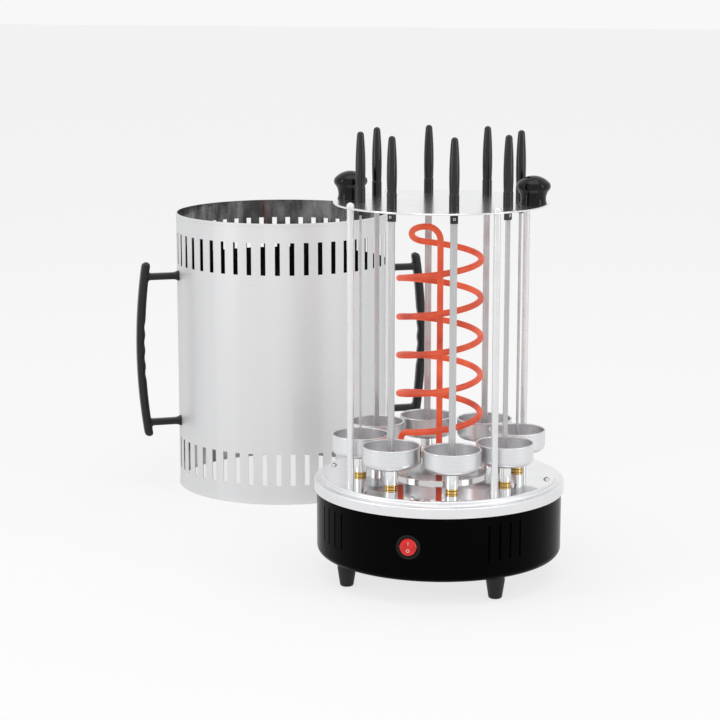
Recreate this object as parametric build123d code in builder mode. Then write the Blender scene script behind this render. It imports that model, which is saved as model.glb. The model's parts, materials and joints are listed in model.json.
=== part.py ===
from build123d import *
import os
from math import acos, asin, atan2, ceil, cos, degrees, hypot, pi, radians, sin, sqrt, tan

os.makedirs("parts", exist_ok=True)

# All lengths are in millimetres and all angles in degrees.
# +Z is up, the switch faces -Y, and the origin lies on the table under the middle of the
# whole set: the grill, and its cover standing beside it.

# Clearances
running_gap = 0.1          # radial play of a shaft or a sliding handle
thrust_gap = 0.3           # play under a turning shoulder
cut_past = 1.0             # how far a cutting shape runs past a face
seat_gap = 0.2             # play of a flat piece in its slot

# Housing and bottom
foot_height = 24.5         # table to the underside of the bottom pan
foot_top_radius = 9.6
foot_tip_radius = 6.8
foot_edge = 2.2
foot_collar = 6.0          # straight top of a foot
stud_radius = 2.0
stud_grip = 14.0           # how far a stud goes into the foot
column_radius = 5.0
column_circle = 110.0      # feet, studs and columns share this circle
column_web = 4.0
web_bite = 1.0             # how far a web runs into the wall
pan_sheet = 2.0
pan_recess = 0.5
pan_gap = 0.3
housing_radius = 127.5
housing_wall = 2.5
housing_height = 76.8
housing_corner = 7.0
housing_lip = 5.0
vent_width = 2.0
vent_height = 38.0
vent_pitch = 5.5           # angle between neighbouring vents
vent_raise = 6.0           # above the middle of the open wall
vents_in_group = 4

# Deck: a pressed sheet with an outer ledge that carries the cover in use
ring_radius = 130.0
ring_skirt = 11.0
ledge_width = 8.5
disc_rise = 4.5
deck_sheet = 1.2
deck_corner = 1.6
deck_screw_circle = 114.0
boss_radius = 4.5
boss_height = 18.0
screw_radius = 2.0
screw_head_radius = 3.6
screw_head_height = 2.2
screw_length = 12.0

# Stations: eight spindles, cups and skewers
station_count = 8
station_circle = 82.5
bushing_radius = 6.2
bushing_height = 3.5
bushing_body_radius = 5.4
bushing_drop = 4.0
journal_radius = 4.0
journal_stub = 2.0         # below the tray
boss_wall = 3.0            # of the boss under a spindle gear
press_gap = 0.05           # between a spindle and its pressed-on gear
pedestal_radius = 6.65
cup_lift = 22.2            # deck to the underside of a cup
cup_radius = 29.3
cup_height = 21.7
cup_wall = 1.0
cup_corner = 6.5
cup_bead = 0.9
socket_radius = 5.2
socket_height = 12.0
socket_depth = 19.5
blade_width = 7.0
blade_thickness = 1.6
blade_point = 12.0
blade_tip_width = 1.2
blade_grip = 14.0          # blade length held inside the handle

# Gears
tooth_module = 2.5
pressure_angle = 20.0
tooth_addendum = 2.0
tooth_dedendum = 2.75
tooth_play = 0.3
drive_teeth = 46
pinion_teeth = 12
pinion_face = 7.5
spindle_face = 7.0
drive_face = 16.0
gear_bore_radius = 12.0
gear_web = 4.0
gear_rim = 6.0
tray_drop = 26.5           # deck top to tray top
tray_sheet = 2.0
tray_radius = 117.0
tray_shoulder = 2.3
tray_shoulder_width = 4.0
hub_bore_radius = 9.0
motor_radius = 25.0
motor_height = 20.0
motor_edge = 1.5
ear_sheet = 3.0
ear_reach = 5.0            # screw holes outside the can
ear_width = 10.0
ear_bearing = 45.0
motor_boss_radius = 7.0
motor_boss_height = 2.6
motor_shaft_radius = 3.0

# Rack: posts, top plate and knobs
post_circle = 105.5
post_radius = 3.5
post_length = 281.9
post_tenon_radius = 2.4
lock_nut_width = 8.0
lock_nut_height = 4.0
cap_nut_radius = 3.9
cap_nut_height = 4.5
cap_nut_flat = 1.5
plate_radius = 110.0
plate_sheet = 2.0
knob_circle = 95.6
knob_base_radius = 13.9
knob_neck_radius = 12.9
knob_cap_radius = 17.3
knob_height = 28.8
knob_waist_share = 0.27    # height of the waist
knob_brim_share = 0.62     # height of the widest ring
knob_brim = 1.4            # how far the brim stands over the waist curve
knob_brim_low = 3.4
knob_brim_mid = 0.6
knob_brim_top = 5.0
knob_crown = 2.4           # from the widest ring in to the crown

# Skewer handles
collar_radius = 5.1
collar_drop = 2.0          # below the plate
collar_rise = 15.5         # above the plate
collar_edge = 0.8
neck_width = 7.4
neck_thickness = 4.6
neck_length = 9.0
grip_length = 56.1         # above the collar
grip_shoulder_radius = 4.75
grip_radius = 5.05
grip_end_radius = 3.6
grip_nose = 3.5

# Heater
tube_radius = 3.25
coil_radius = 42.0
coil_pitch = 40.2
coil_turns = 4             # whole turns below the top one
coil_base = 52.5           # deck to the lowest front crossing of the coil
coil_arm_rise = 20.0       # coil end to the arm over its middle
leg_bend = 14.0
tail_bend = 12.0
tail_angle = 40.0          # the coil runs this far past the front before it drops
reflector_radius = 52.0
reflector_height = 3.5
reflector_sheet = 1.0
insulator_radius = 5.4
insulator_flange_radius = 7.6
insulator_flange = 4.0
insulator_play = 0.1

# Switch
switch_height = 60.5
bezel_radius = 12.6
bezel_face = 2.2
bezel_gap = 0.5            # around the bezel in its flat seat
barrel_radius = 10.8
barrel_length = 19.0
rocker_radius = 8.6
rocker_front = 3.2
rocker_back = 2.6
rocker_tilt = 7.0          # half of the rocker's travel
rocker_pin_radius = 1.2
rocker_pin_length = 1.4

# Cord gland and terminal block
gland_height = 42.0
gland_bore_radius = 3.6
gland_radius = 6.0
gland_flange_radius = 8.5
gland_flange = 3.0
gland_length = 14.0
block_length = 34.0
block_depth = 16.0
block_height = 14.0
block_chamfer = 1.5
block_offset = (-30.0, 20.0)  # from the grill's axis
wire_radius = 1.2
tail_wire_radius = 3.0
lead_in_turn = 80.0           # where the lead-in starts to drop, from the grill's axis
lead_in_low = 52.0            # where it has come down to the block
lead_spread = 5.0          # half the gap between the two switch leads
lead_seat = 8.0            # their middle on the block
lead_near = 30.0           # where they leave the block's side, from the grill's axis
lead_far = 62.0            # where they reach the switch's height
heater_lead_seat = 10.0    # heater lead on the block
heater_lead_rise = 18.0
heater_lead_drop = 12.0    # below the gear tray
motor_lead_seat = -10.0    # motor lead on the block
tail_wire_bend = 12.0
wire_bend = 8.0
heater_wire_bend = 6.0

# Cover, standing beside the grill
cover_from_grill = 435.5
cover_bearing = 129.6      # counted from +X towards +Y
cover_radius = 129.0
cover_height = 334.0
cover_sheet = 0.8
rim_bead = 1.3
slot_count = 48
slot_width = 5.8
slot_height = 38.0
slot_margin = 22.5
handle_bearing = 210.9
handle_reach = 182.0
handle_width = 13.0
grip_thickness = 9.5
handle_bow = 8.5
handle_bottom = 63.5
handle_top = 278.0
arm_height = 8.0
arm_inset = 14.0
arm_flare = 5.0
arm_bite = 3.0             # how far an arm runs into the grip
finger_count = 4
finger_pitch = 19.0
finger_depth = 1.3
finger_round = 16.0
handle_screw_depth = 14.0

# Heights worked out from the sizes above
housing_bottom = foot_height - pan_recess
pan_top = foot_height + pan_sheet
housing_top = housing_bottom + housing_height
ledge_top = housing_top + deck_sheet
ring_bottom = ledge_top - ring_skirt
deck_top = ledge_top + disc_rise
deck_under = deck_top - deck_sheet
disc_radius = ring_radius - ledge_width
tray_top = deck_top - tray_drop
tray_bottom = tray_top - tray_sheet
gear_bottom = tray_top + tray_shoulder + thrust_gap
gear_top = gear_bottom + drive_face
hub_top = gear_top + thrust_gap
bushing_top = deck_top + bushing_height
cup_bottom = deck_top + cup_lift
cup_rim = cup_bottom + cup_height
socket_top = cup_bottom + socket_height
socket_floor = socket_top - socket_depth
blade_tip = socket_floor + thrust_gap
plate_bottom = deck_top + post_length
plate_top = plate_bottom + plate_sheet
collar_bottom = plate_bottom - collar_drop
collar_top = plate_top + collar_rise
neck_bottom = collar_bottom - neck_length
handle_tip = collar_top + grip_length
blade_top = neck_bottom + blade_grip
seat_depth = housing_radius - sqrt(housing_radius**2 - (bezel_radius + bezel_gap) ** 2)
spindle_teeth = round(2 * station_circle / tooth_module) - drive_teeth

# Places of the two axes, with the origin under the middle of the set
handle_lean = radians(handle_bearing - 180)
set_left = cover_from_grill * cos(radians(cover_bearing)) - (
    handle_reach * cos(handle_lean) + handle_width / 2 * sin(handle_lean)
)
set_right = ring_radius
set_front = -ring_radius
set_back = cover_from_grill * sin(radians(cover_bearing)) + cover_radius + rim_bead / 2
grill = (-(set_left + set_right) / 2, -(set_front + set_back) / 2)
cover = (
    grill[0] + cover_from_grill * cos(radians(cover_bearing)),
    grill[1] + cover_from_grill * sin(radians(cover_bearing)),
)

station_bearings = [-90 + (n + 0.5) * 360 / station_count for n in range(station_count)]
corner_bearings = [-135, -45, 45, 135]
knob_bearings = [0, 180]
screw_bearings = [-90, 0, 90, 180]
motor_bearing = 90


def place(radius, bearing, centre=grill):
    """Point at a radius and bearing from an upright axis."""
    turn = radians(bearing)
    return (centre[0] + radius * cos(turn), centre[1] + radius * sin(turn))


def level(centre, height, bearing=0):
    """Horizontal plane over a point, its X turned to a bearing."""
    turn = radians(bearing)
    return Plane(origin=(*centre, height), x_dir=(cos(turn), sin(turn), 0), z_dir=(0, 0, 1))


def section(centre, bearing=0):
    """Upright plane through a point: X runs out along a bearing, Y is up."""
    turn = radians(bearing)
    return Plane(origin=(*centre, 0), x_dir=(cos(turn), sin(turn), 0), z_dir=(sin(turn), -cos(turn), 0))


def facing(centre, height, bearing):
    """Upright plane that looks out along a bearing: its Y is up."""
    turn = radians(bearing)
    return Plane(origin=(*centre, height), x_dir=(-sin(turn), cos(turn), 0), z_dir=(cos(turn), sin(turn), 0))


def upright(centre):
    """Vertical axis through a point."""
    return Axis((*centre, 0), (0, 0, 1))


def save(piece, name):
    """Names a finished piece and writes its file."""
    piece.label = name
    export_step(piece, f"parts/{name}.step")


def disc(centre, radius, low, high, mode=Mode.ADD):
    """Upright cylinder between two heights, inside the part being built."""
    with BuildSketch(level(centre, low)) as outline:
        Circle(radius)
    extrude(outline.sketch, amount=high - low, mode=mode)


def dome(rim_radius, rim_height, top_height):
    """Arc of a ball centred on the axis, from a rim up to the middle."""
    rise = top_height - rim_height
    ball = (rim_radius**2 + rise**2) / (2 * rise)
    half = atan2(rim_radius, ball - rise) / 2
    ThreePointArc(
        (rim_radius, rim_height),
        (ball * sin(half), top_height - ball + ball * cos(half)),
        (0, top_height),
    )


# ---------------------------------------------------------------- housing

with BuildPart() as housing:
    inner = housing_radius - housing_wall
    lip = housing_radius - housing_lip - housing_wall
    with BuildSketch(section(grill)) as shell:
        with BuildLine():
            Polyline(
                (lip, housing_bottom),
                (housing_radius, housing_bottom),
                (housing_radius, housing_top),
                (inner, housing_top),
                (inner, housing_bottom + housing_wall),
                (lip, housing_bottom + housing_wall),
                close=True,
            )
        make_face()
        low_corners = shell.vertices().sort_by(Axis.Y)
        outer_corner = low_corners.filter_by(lambda v: v.Y < housing_bottom + 0.1).sort_by(Axis.X)[-1]
        fillet(outer_corner, housing_corner)
        bend = shell.vertices().filter_by(
            lambda v: abs(v.X - inner) < 0.01 and v.Y < housing_bottom + housing_wall + 0.1
        )
        fillet(bend, housing_corner - housing_wall)
    revolve(axis=upright(grill))
    for bearing in corner_bearings:
        disc(place(column_circle, bearing), column_radius, pan_top, tray_bottom)
        with BuildSketch(level(place((column_circle + inner) / 2, bearing), pan_top, bearing)):
            Rectangle(inner - column_circle + web_bite, column_web)
        extrude(amount=tray_bottom - pan_top)
    for bearing in screw_bearings:
        spot = place(deck_screw_circle, bearing)
        disc(spot, boss_radius, deck_under - boss_height, deck_under)
        web_spot = place((deck_screw_circle + inner) / 2, bearing)
        with BuildSketch(level(web_spot, deck_under - boss_height, bearing)):
            Rectangle(inner - deck_screw_circle + web_bite, column_web)
        extrude(amount=boss_height - disc_rise - deck_sheet)
        disc(spot, screw_radius, deck_under - screw_length, deck_under, Mode.SUBTRACT)
    for bearing in corner_bearings:
        spot = place(column_circle, bearing)
        disc(spot, stud_radius, pan_top, pan_top + stud_grip, Mode.SUBTRACT)
        disc(spot, screw_radius, tray_bottom - screw_length, tray_bottom, Mode.SUBTRACT)
        for step in range(vents_in_group):
            turn = bearing + (step - (vents_in_group - 1) / 2) * vent_pitch
            middle = (housing_bottom + ring_bottom) / 2 + vent_raise
            with BuildSketch(facing(place(inner - cut_past, turn), middle, turn)):
                SlotOverall(vent_height, vent_width, rotation=90)
            extrude(amount=housing_wall + 2 * cut_past, mode=Mode.SUBTRACT)
    with BuildSketch(facing(place(housing_radius - seat_depth, -90), switch_height, -90)):
        Circle(bezel_radius + bezel_gap)
    extrude(amount=seat_depth + cut_past, mode=Mode.SUBTRACT)
    with BuildSketch(facing(place(inner - seat_depth - cut_past, -90), switch_height, -90)):
        Circle(barrel_radius + seat_gap)
    extrude(amount=housing_wall + seat_depth + 2 * cut_past, mode=Mode.SUBTRACT)
    with BuildSketch(facing(place(inner - seat_depth - cut_past, 90), gland_height, 90)):
        Circle(gland_radius)
    extrude(amount=housing_wall + seat_depth + 2 * cut_past, mode=Mode.SUBTRACT)
save(housing.part, "housing")

with BuildPart() as bottom_pan:
    disc(grill, housing_radius - housing_lip - housing_wall - pan_gap, foot_height, pan_top)
    for bearing in corner_bearings:
        disc(place(column_circle, bearing), stud_radius, foot_height, pan_top, Mode.SUBTRACT)
save(bottom_pan.part, "bottom_pan")

with BuildPart() as feet:
    for bearing in corner_bearings:
        spot = place(column_circle, bearing)
        with BuildSketch(section(spot)) as foot_side:
            with BuildLine():
                Polyline(
                    (0, 0),
                    (foot_tip_radius, 0),
                    (foot_top_radius, foot_height - foot_collar),
                    (foot_top_radius, foot_height),
                    (0, foot_height),
                    close=True,
                )
            make_face()
            tip = foot_side.vertices().filter_by(lambda v: v.Y < 0.1).sort_by(Axis.X)[-1]
            fillet(tip, foot_edge)
        revolve(axis=upright(spot))
        disc(spot, stud_radius, foot_height - stud_grip, foot_height, Mode.SUBTRACT)
save(feet.part, "feet")

with BuildPart() as foot_studs:
    for bearing in corner_bearings:
        disc(place(column_circle, bearing), stud_radius, foot_height - stud_grip, pan_top + stud_grip)
save(foot_studs.part, "foot_studs")

# ---------------------------------------------------------------- deck

heater_leg = grill
tail_start = -90 - tail_angle
coil_slope = atan2(coil_pitch, 2 * pi * coil_radius)
tail_reach = tail_bend * (1 - sin(coil_slope))
tail_turn = radians(tail_start)
heater_tail = (
    grill[0] + coil_radius * cos(tail_turn) + tail_reach * sin(tail_turn),
    grill[1] + coil_radius * sin(tail_turn) - tail_reach * cos(tail_turn),
)

with BuildPart() as deck:
    skirt = ring_radius - deck_sheet
    riser = disc_radius - deck_sheet
    with BuildSketch(section(grill)) as pressing:
        with BuildLine():
            Polyline(
                (0, deck_top),
                (disc_radius, deck_top),
                (disc_radius, ledge_top),
                (ring_radius, ledge_top),
                (ring_radius, ring_bottom),
                (skirt, ring_bottom),
                (skirt, housing_top),
                (riser, housing_top),
                (riser, deck_under),
                (0, deck_under),
                close=True,
            )
        make_face()
        rims = pressing.vertices().filter_by(
            lambda v: v.Y > ledge_top - 0.01 and v.X > disc_radius - 0.01
        )
        fillet(rims, deck_corner)
    revolve(axis=upright(grill))
    for bearing in station_bearings:
        disc(place(station_circle, bearing), bushing_body_radius, deck_under, deck_top, Mode.SUBTRACT)
    for bearing in corner_bearings:
        disc(place(post_circle, bearing), post_tenon_radius, deck_under, deck_top, Mode.SUBTRACT)
    for bearing in screw_bearings:
        disc(place(deck_screw_circle, bearing), screw_radius, deck_under, deck_top, Mode.SUBTRACT)
    for spot in (heater_leg, heater_tail):
        disc(spot, insulator_radius, deck_under, deck_top, Mode.SUBTRACT)
save(deck.part, "deck")


def screws(spots, seat, length):
    """Pan-head screws: the head stands on the seat height, the shank goes down."""
    for spot in spots:
        disc(spot, screw_radius, seat - length, seat)
        with BuildSketch(section(spot)) as head:
            with BuildLine():
                Polyline((0, seat + screw_head_height), (0, seat), (screw_head_radius, seat))
                dome(screw_head_radius, seat, seat + screw_head_height)
            make_face()
        revolve(head.sketch, axis=upright(spot))


with BuildPart() as deck_screws:
    screws([place(deck_screw_circle, bearing) for bearing in screw_bearings], deck_top, screw_length)
save(deck_screws.part, "deck_screws")

with BuildPart() as deck_bushings:
    for bearing in station_bearings:
        spot = place(station_circle, bearing)
        disc(spot, bushing_body_radius, deck_under - bushing_drop, deck_top)
        disc(spot, bushing_radius, deck_top, bushing_top)
        disc(spot, journal_radius + running_gap, deck_under - bushing_drop, bushing_top, Mode.SUBTRACT)
save(deck_bushings.part, "deck_bushings")

# ---------------------------------------------------------------- drive


def gear_outline(teeth, turn):
    """Closed outline of a spur gear with involute flanks, one tooth centred on the turn angle."""
    pitch_radius = tooth_module * teeth / 2
    base_radius = pitch_radius * cos(radians(pressure_angle))
    root_radius = pitch_radius - tooth_dedendum
    tip_radius = pitch_radius + tooth_addendum
    low_radius = max(root_radius, base_radius * 1.001)
    middle_radius = (low_radius + tip_radius) / 2

    def involute(radius):
        angle = acos(base_radius / radius)
        return tan(angle) - angle

    half_tooth = (pi * tooth_module - tooth_play) / (4 * pitch_radius)

    def flank(radius, side, tooth):
        swing = half_tooth + involute(pitch_radius) - involute(max(radius, low_radius))
        bearing = radians(turn + tooth * 360 / teeth) + side * swing
        return (radius * cos(bearing), radius * sin(bearing))

    for tooth in range(teeth):
        middle = radians(turn + tooth * 360 / teeth)
        valley = middle + pi / teeth
        crown = (tip_radius * cos(middle), tip_radius * sin(middle))
        floor = (root_radius * cos(valley), root_radius * sin(valley))
        if root_radius < low_radius:
            Line(flank(root_radius, -1, tooth), flank(low_radius, -1, tooth))
            Line(flank(low_radius, 1, tooth), flank(root_radius, 1, tooth))
        ThreePointArc(flank(low_radius, -1, tooth), flank(middle_radius, -1, tooth), flank(tip_radius, -1, tooth))
        ThreePointArc(flank(tip_radius, -1, tooth), crown, flank(tip_radius, 1, tooth))
        ThreePointArc(flank(tip_radius, 1, tooth), flank(middle_radius, 1, tooth), flank(low_radius, 1, tooth))
        ThreePointArc(flank(root_radius, 1, tooth), floor, flank(root_radius, -1, tooth + 1))


def gear_blank(centre, low, face, teeth, turn):
    """Toothed disc inside the part being built."""
    with BuildSketch(level(centre, low)) as blank:
        with BuildLine():
            gear_outline(teeth, turn)
        make_face()
    extrude(blank.sketch, amount=face)


def mesh_turn(bearing, teeth):
    """Turn that puts a valley of this gear on the drive gear's tooth at a bearing."""
    return bearing * (1 + drive_teeth / teeth) + 180 + 180 / teeth


pinion_circle = tooth_module * (drive_teeth + pinion_teeth) / 2
motor_spot = place(pinion_circle, motor_bearing)
drive_pitch_radius = tooth_module * drive_teeth / 2
motor_ears = [place(motor_radius + ear_reach, ear_bearing + turn, motor_spot) for turn in (0, 180)]

with BuildPart() as gear_tray:
    disc(grill, tray_radius, tray_bottom, tray_top)
    disc(grill, gear_bore_radius + tray_shoulder_width, tray_top, tray_top + tray_shoulder)
    disc(grill, gear_bore_radius, tray_top, hub_top)
    disc(grill, hub_bore_radius, tray_bottom, hub_top, Mode.SUBTRACT)
    for bearing in station_bearings:
        spot = place(station_circle, bearing)
        disc(spot, journal_radius + running_gap, tray_bottom, tray_top, Mode.SUBTRACT)
    for bearing in corner_bearings:
        disc(place(column_circle, bearing), screw_radius, tray_bottom, tray_top, Mode.SUBTRACT)
    disc(motor_spot, motor_boss_radius, tray_bottom, tray_top, Mode.SUBTRACT)
    for spot in motor_ears:
        disc(spot, screw_radius, tray_bottom, tray_top, Mode.SUBTRACT)
save(gear_tray.part, "gear_tray")

with BuildPart() as tray_screws:
    screws([place(column_circle, bearing) for bearing in corner_bearings], tray_top, screw_length)
    screws(motor_ears, tray_top, tray_sheet + ear_sheet)
save(tray_screws.part, "tray_screws")

with BuildPart() as drive_gear:
    gear_blank(grill, gear_bottom, drive_face, drive_teeth, 0)
    recess = (drive_face - gear_web) / 2
    with BuildSketch(level(grill, gear_bottom), level(grill, gear_top - recess)):
        Circle(drive_pitch_radius - tooth_dedendum - gear_rim)
        Circle(gear_bore_radius + gear_rim, mode=Mode.SUBTRACT)
    extrude(amount=recess, mode=Mode.SUBTRACT)
    disc(grill, gear_bore_radius + running_gap, gear_bottom, gear_top, Mode.SUBTRACT)
save(drive_gear.part, "drive_gear")

with BuildPart() as motor:
    disc(motor_spot, motor_radius, tray_bottom - motor_height, tray_bottom)
    chamfer(motor.faces().sort_by(Axis.Z)[0].edges(), motor_edge)
    with BuildSketch(level(motor_spot, tray_bottom - ear_sheet, ear_bearing)):
        SlotCenterToCenter(2 * (motor_radius + ear_reach), ear_width)
    extrude(amount=ear_sheet)
    disc(motor_spot, motor_boss_radius, tray_bottom, tray_bottom + motor_boss_height)
    shaft_floor = tray_bottom - motor_height / 2
    boss_top = tray_bottom + motor_boss_height
    disc(motor_spot, motor_shaft_radius + running_gap, shaft_floor, boss_top, Mode.SUBTRACT)
    for spot in motor_ears:
        disc(spot, screw_radius, tray_bottom - ear_sheet, tray_bottom, Mode.SUBTRACT)
save(motor.part, "motor")

with BuildPart() as motor_pinion:
    gear_blank(motor_spot, gear_bottom, pinion_face, pinion_teeth, mesh_turn(motor_bearing, pinion_teeth))
    disc(motor_spot, motor_shaft_radius, shaft_floor + thrust_gap, gear_bottom)
save(motor_pinion.part, "motor_pinion")

# ---------------------------------------------------------------- stations


def make_spindle(name, bearing):
    """Turned spindle with its pedestal and skewer socket, and the moulded gear pressed on it."""
    spot = place(station_circle, bearing)
    gear_low = gear_top - spindle_face
    boss_low = tray_top + thrust_gap
    with BuildPart() as spindle:
        disc(spot, journal_radius, tray_bottom - journal_stub, bushing_top + thrust_gap)
        disc(spot, pedestal_radius, bushing_top + thrust_gap, cup_bottom)
        disc(spot, socket_radius, cup_bottom, socket_top)
        with BuildSketch(level(spot, socket_floor, bearing)):
            Rectangle(blade_thickness + 2 * seat_gap, blade_width + 2 * seat_gap)
        extrude(amount=socket_depth, mode=Mode.SUBTRACT)
    with BuildPart() as gear:
        gear_blank(spot, gear_low, spindle_face, spindle_teeth, mesh_turn(bearing, spindle_teeth))
        disc(spot, journal_radius + boss_wall, boss_low, gear_low)
        disc(spot, journal_radius + press_gap, boss_low, gear_top, Mode.SUBTRACT)
    save(Compound([spindle.part.solid(), gear.part.solid()]), name)


def make_cup(name, bearing):
    """Spun cup with a rounded bottom edge and a small beaded rim."""
    spot = place(station_circle, bearing)
    inside = cup_radius - cup_wall
    with BuildPart() as cup:
        with BuildSketch(section(spot)) as bowl:
            with BuildLine():
                Polyline(
                    (socket_radius, cup_bottom),
                    (cup_radius, cup_bottom),
                    (cup_radius, cup_rim),
                    (inside, cup_rim),
                    (inside, cup_bottom + cup_wall),
                    (socket_radius, cup_bottom + cup_wall),
                    close=True,
                )
            make_face()
            outer = bowl.vertices().filter_by(lambda v: v.X > cup_radius - 0.01 and v.Y < cup_bottom + 0.01)
            fillet(outer, cup_corner)
            bend = bowl.vertices().filter_by(
                lambda v: abs(v.X - inside) < 0.01 and v.Y < cup_bottom + cup_wall + 0.01
            )
            fillet(bend, cup_corner - cup_wall)
            with Locations((cup_radius - cup_wall / 2, cup_rim - cup_bead)):
                Circle(cup_bead)
        revolve(axis=upright(spot))
    save(cup.part, name)


def make_blade(name, bearing):
    """Flat skewer with a pointed tip, standing in its socket."""
    spot = place(station_circle, bearing)
    half = blade_width / 2
    with BuildPart() as blade:
        with BuildSketch(facing(spot, 0, bearing)):
            with BuildLine():
                Polyline(
                    (-blade_tip_width / 2, blade_tip),
                    (blade_tip_width / 2, blade_tip),
                    (half, blade_tip + blade_point),
                    (half, blade_top),
                    (-half, blade_top),
                    (-half, blade_tip + blade_point),
                    close=True,
                )
            make_face()
        extrude(amount=blade_thickness / 2, both=True)
    save(blade.part, name)


def make_handle(name, bearing):
    """Slim handle: round collar that turns in the top plate, long grip above, flat neck below."""
    spot = place(station_circle, bearing)
    with BuildPart() as handle:
        with BuildSketch(section(spot)) as grip:
            nose = handle_tip - grip_nose
            with BuildLine():
                Polyline(
                    (0, collar_bottom),
                    (collar_radius - collar_edge, collar_bottom),
                    (collar_radius, collar_bottom + collar_edge),
                    (collar_radius, collar_top - collar_edge),
                    (grip_shoulder_radius, collar_top),
                )
                ThreePointArc(
                    (grip_shoulder_radius, collar_top),
                    (grip_radius, (collar_top + nose) / 2),
                    (grip_end_radius, nose),
                )
                dome(grip_end_radius, nose, handle_tip)
                Line((0, handle_tip), (0, collar_bottom))
            make_face()
        revolve(axis=upright(spot))
        with BuildSketch(level(spot, neck_bottom, bearing)):
            Rectangle(neck_thickness, neck_width)
        extrude(amount=neck_length)
        with BuildSketch(level(spot, neck_bottom, bearing)):
            Rectangle(blade_thickness, blade_width)
        extrude(amount=blade_grip, mode=Mode.SUBTRACT)
    save(handle.part, name)


for number, bearing in enumerate(station_bearings, start=1):
    make_spindle(f"spindle_{number}", bearing)
    make_cup(f"cup_{number}", bearing)
    make_blade(f"skewer_{number}", bearing)
    make_handle(f"skewer_handle_{number}", bearing)

# ---------------------------------------------------------------- rack

with BuildPart() as posts:
    for bearing in corner_bearings:
        spot = place(post_circle, bearing)
        disc(spot, post_radius, deck_top, plate_bottom)
        disc(spot, post_tenon_radius, deck_under - lock_nut_height, deck_top)
        disc(spot, post_tenon_radius, plate_bottom, plate_top + cap_nut_height / 2)
save(posts.part, "posts")

with BuildPart() as post_nuts:
    for bearing in corner_bearings:
        spot = place(post_circle, bearing)
        with BuildSketch(level(spot, deck_under - lock_nut_height, bearing)):
            RegularPolygon(lock_nut_width / 2, 6, major_radius=False)
        extrude(amount=lock_nut_height)
        with BuildSketch(section(spot)):
            with BuildLine():
                edge_height = plate_top + cap_nut_flat
                Polyline((0, plate_top), (cap_nut_radius, plate_top), (cap_nut_radius, edge_height))
                dome(cap_nut_radius, edge_height, plate_top + cap_nut_height)
                Line((0, plate_top + cap_nut_height), (0, plate_top))
            make_face()
        revolve(axis=upright(spot))
        disc(spot, post_tenon_radius, plate_top, plate_top + cap_nut_height / 2, Mode.SUBTRACT)
        disc(spot, post_tenon_radius, deck_under - lock_nut_height, deck_under, Mode.SUBTRACT)
save(post_nuts.part, "post_nuts")

with BuildPart() as top_plate:
    disc(grill, plate_radius, plate_bottom, plate_top)
    fillet(top_plate.edges().filter_by(GeomType.CIRCLE), plate_sheet * 0.35)
    for bearing in station_bearings:
        spot = place(station_circle, bearing)
        disc(spot, collar_radius + running_gap, plate_bottom, plate_top, Mode.SUBTRACT)
    for bearing in corner_bearings:
        disc(place(post_circle, bearing), post_tenon_radius, plate_bottom, plate_top, Mode.SUBTRACT)
    for bearing in knob_bearings:
        disc(place(knob_circle, bearing), screw_radius, plate_bottom, plate_top, Mode.SUBTRACT)
save(top_plate.part, "top_plate")

with BuildPart() as knobs:
    for bearing in knob_bearings:
        spot = place(knob_circle, bearing)
        waist = plate_top + knob_height * knob_waist_share
        brim = plate_top + knob_height * knob_brim_share
        with BuildSketch(section(spot)):
            with BuildLine():
                Polyline((0, plate_top + knob_height), (0, plate_top), (knob_base_radius, plate_top))
                ThreePointArc(
                    (knob_base_radius, plate_top),
                    (knob_neck_radius, waist),
                    (knob_cap_radius - knob_brim, brim - knob_brim_low),
                )
                ThreePointArc(
                    (knob_cap_radius - knob_brim, brim - knob_brim_low),
                    (knob_cap_radius, brim + knob_brim_mid),
                    (knob_cap_radius - knob_crown, brim + knob_brim_top),
                )
                dome(knob_cap_radius - knob_crown, brim + knob_brim_top, plate_top + knob_height)
            make_face()
        revolve(axis=upright(spot))
        disc(spot, screw_radius, plate_top, plate_top + screw_length, Mode.SUBTRACT)
save(knobs.part, "knobs")

with BuildPart() as knob_screws:
    for bearing in knob_bearings:
        spot = place(knob_circle, bearing)
        disc(spot, screw_head_radius, plate_bottom - screw_head_height, plate_bottom)
        disc(spot, screw_radius, plate_bottom, plate_top + screw_length)
save(knob_screws.part, "knob_screws")

# ---------------------------------------------------------------- heater

coil_low = deck_top + coil_base


def coil_point(turn):
    """Point of the coil at a bearing in degrees, where one turn more is one pitch up."""
    angle = radians(turn)
    height = coil_low + (turn + 90) / 360 * coil_pitch
    return Vector(grill[0] + coil_radius * cos(angle), grill[1] + coil_radius * sin(angle), height)


def coil_heading(turn):
    """Direction of travel down the coil at a bearing."""
    angle = radians(turn)
    rise = coil_pitch / (2 * pi)
    return Vector(coil_radius * sin(angle), -coil_radius * cos(angle), -rise).normalized()


def smooth_run(start, start_heading, end, end_heading):
    """Two arcs that join two points with given headings; returns sample points along them."""
    chord = end - start
    heading_sum = start_heading + end_heading
    square = 2 * (start_heading.dot(end_heading) - 1)
    slant = -2 * chord.dot(heading_sum)
    length = chord.dot(chord)
    if abs(square) < 1e-9:
        reach = -length / slant
    else:
        reach = (-slant - sqrt(slant * slant - 4 * square * length)) / (2 * square)
        if reach < 0:
            reach = (-slant + sqrt(slant * slant - 4 * square * length)) / (2 * square)
    before = start + start_heading * reach
    after = end - end_heading * reach
    joint = (before + after) * 0.5
    first = TangentArc(start, joint, tangent=start_heading)
    second = TangentArc(joint, end, tangent=(after - before).normalized())
    return [edge.position_at(share / 12) for edge in (first, second) for share in range(12)]


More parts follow.
